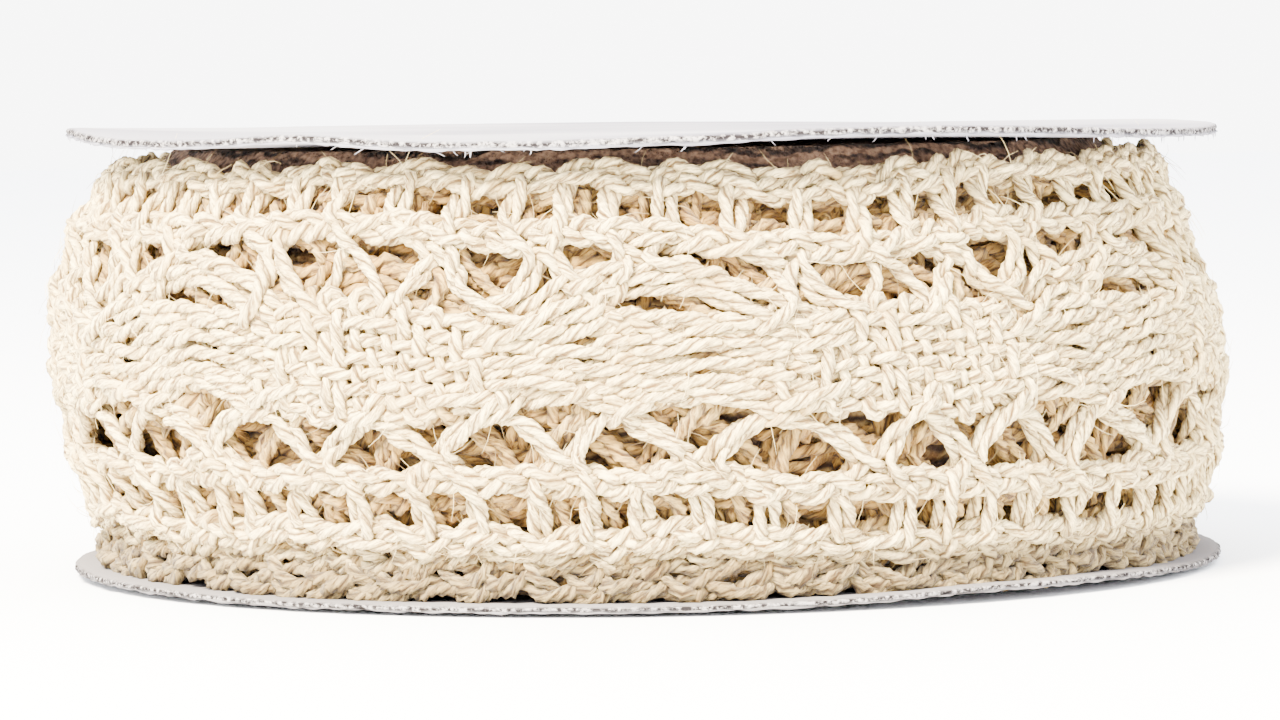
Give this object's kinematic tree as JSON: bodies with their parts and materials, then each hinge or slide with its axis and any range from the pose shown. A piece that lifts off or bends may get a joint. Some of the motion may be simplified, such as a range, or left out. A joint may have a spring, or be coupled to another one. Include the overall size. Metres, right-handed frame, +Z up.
{
  "type": "spool of lace ribbon",
  "caption": "Roll of cream cotton bobbin-lace ribbon wound between two plain white card discs, standing on its lower disc.",
  "frame": {"origin": "middle of the lower disc's underside, on the surface that the spool stands on", "axes": "+Z up along the spool's axis; -Y faces the picture's camera, +X to its right"},
  "size_m": [0.078, 0.0781, 0.0285],
  "materials": {
    "lace": "matt soft two-ply cotton yarn",
    "card": "white card with a lightly glossy coated face and a raw cut edge"
  },
  "bodies": {
    "root": {"flange_bottom": "card", "lace_roll": "lace", "flange_top": "card"}
  },
  "joints": []
}
